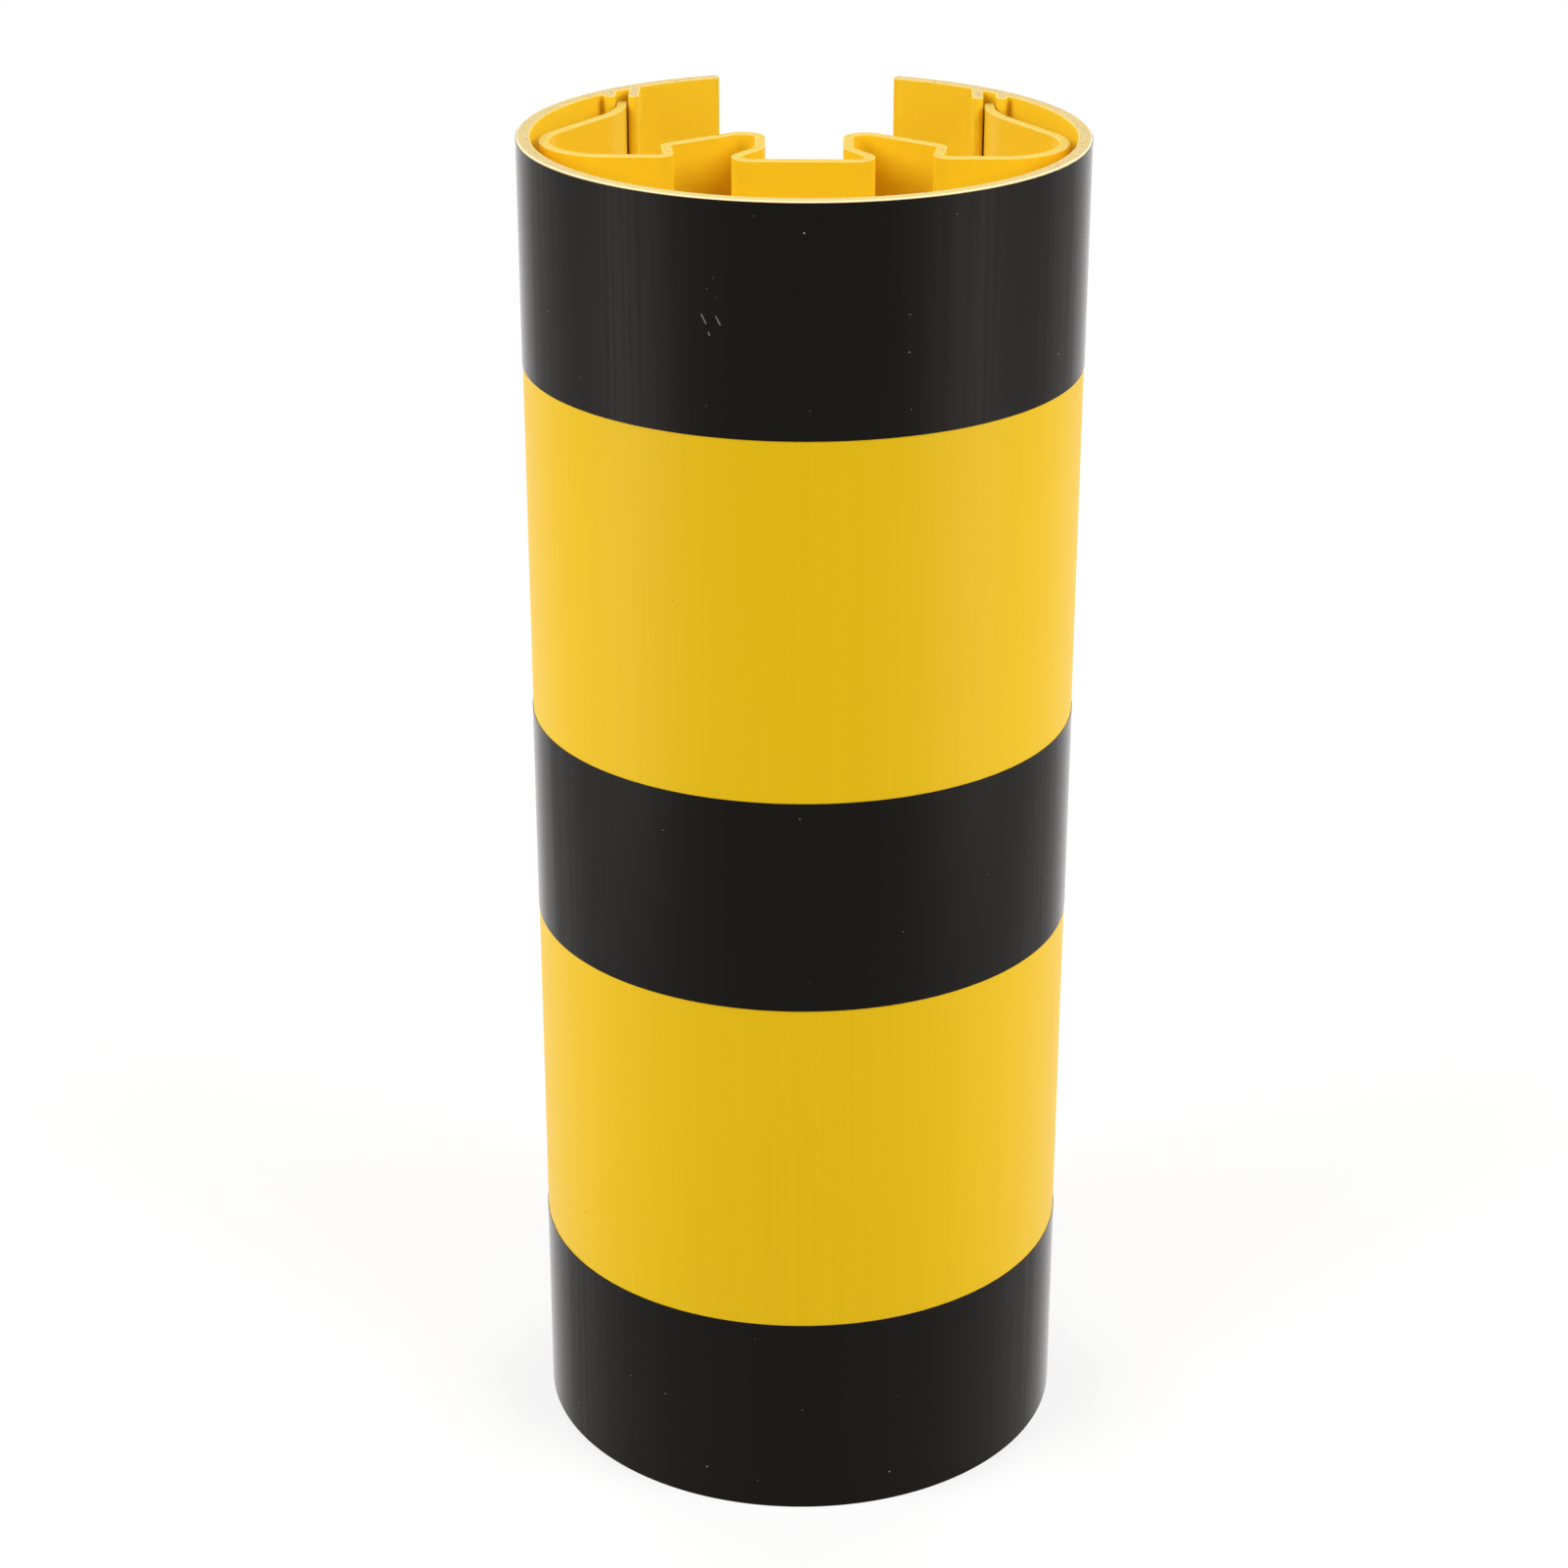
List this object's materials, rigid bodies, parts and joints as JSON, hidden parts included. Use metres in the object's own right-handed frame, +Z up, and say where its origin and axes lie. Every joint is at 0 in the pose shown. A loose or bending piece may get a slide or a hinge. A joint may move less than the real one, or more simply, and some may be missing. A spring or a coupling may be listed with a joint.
{
  "type": "rack upright protector",
  "caption": "Split plastic tube that clips round a rack upright as a collision guard, with a wavy spring insert slid into inner grooves and black film bands round the outside.",
  "frame": {"origin": "on the axis of the split tube, on the plane that it stands on", "axes": "+Z up along the tube, +Y out through the mouth at the rear, -Y towards the closed front, +X to the right seen from the front"},
  "size_m": [0.1592, 0.1544, 0.4],
  "materials": {
    "shell_plastic": "extruded, satin",
    "insert_plastic": "extruded, satin",
    "band_film": "satin self-adhesive film"
  },
  "bodies": {
    "shell": {"outer_shell": "shell_plastic", "top_black_band": "band_film", "middle_black_band": "band_film", "bottom_black_band": "band_film"},
    "insert": {"spring_insert": "insert_plastic"}
  },
  "joints": [
    {"name": "insert_slide", "type": "slide", "parent": "shell", "child": "insert", "axis": [0, 0, 1], "range_m": [0, 0.36]}
  ]
}
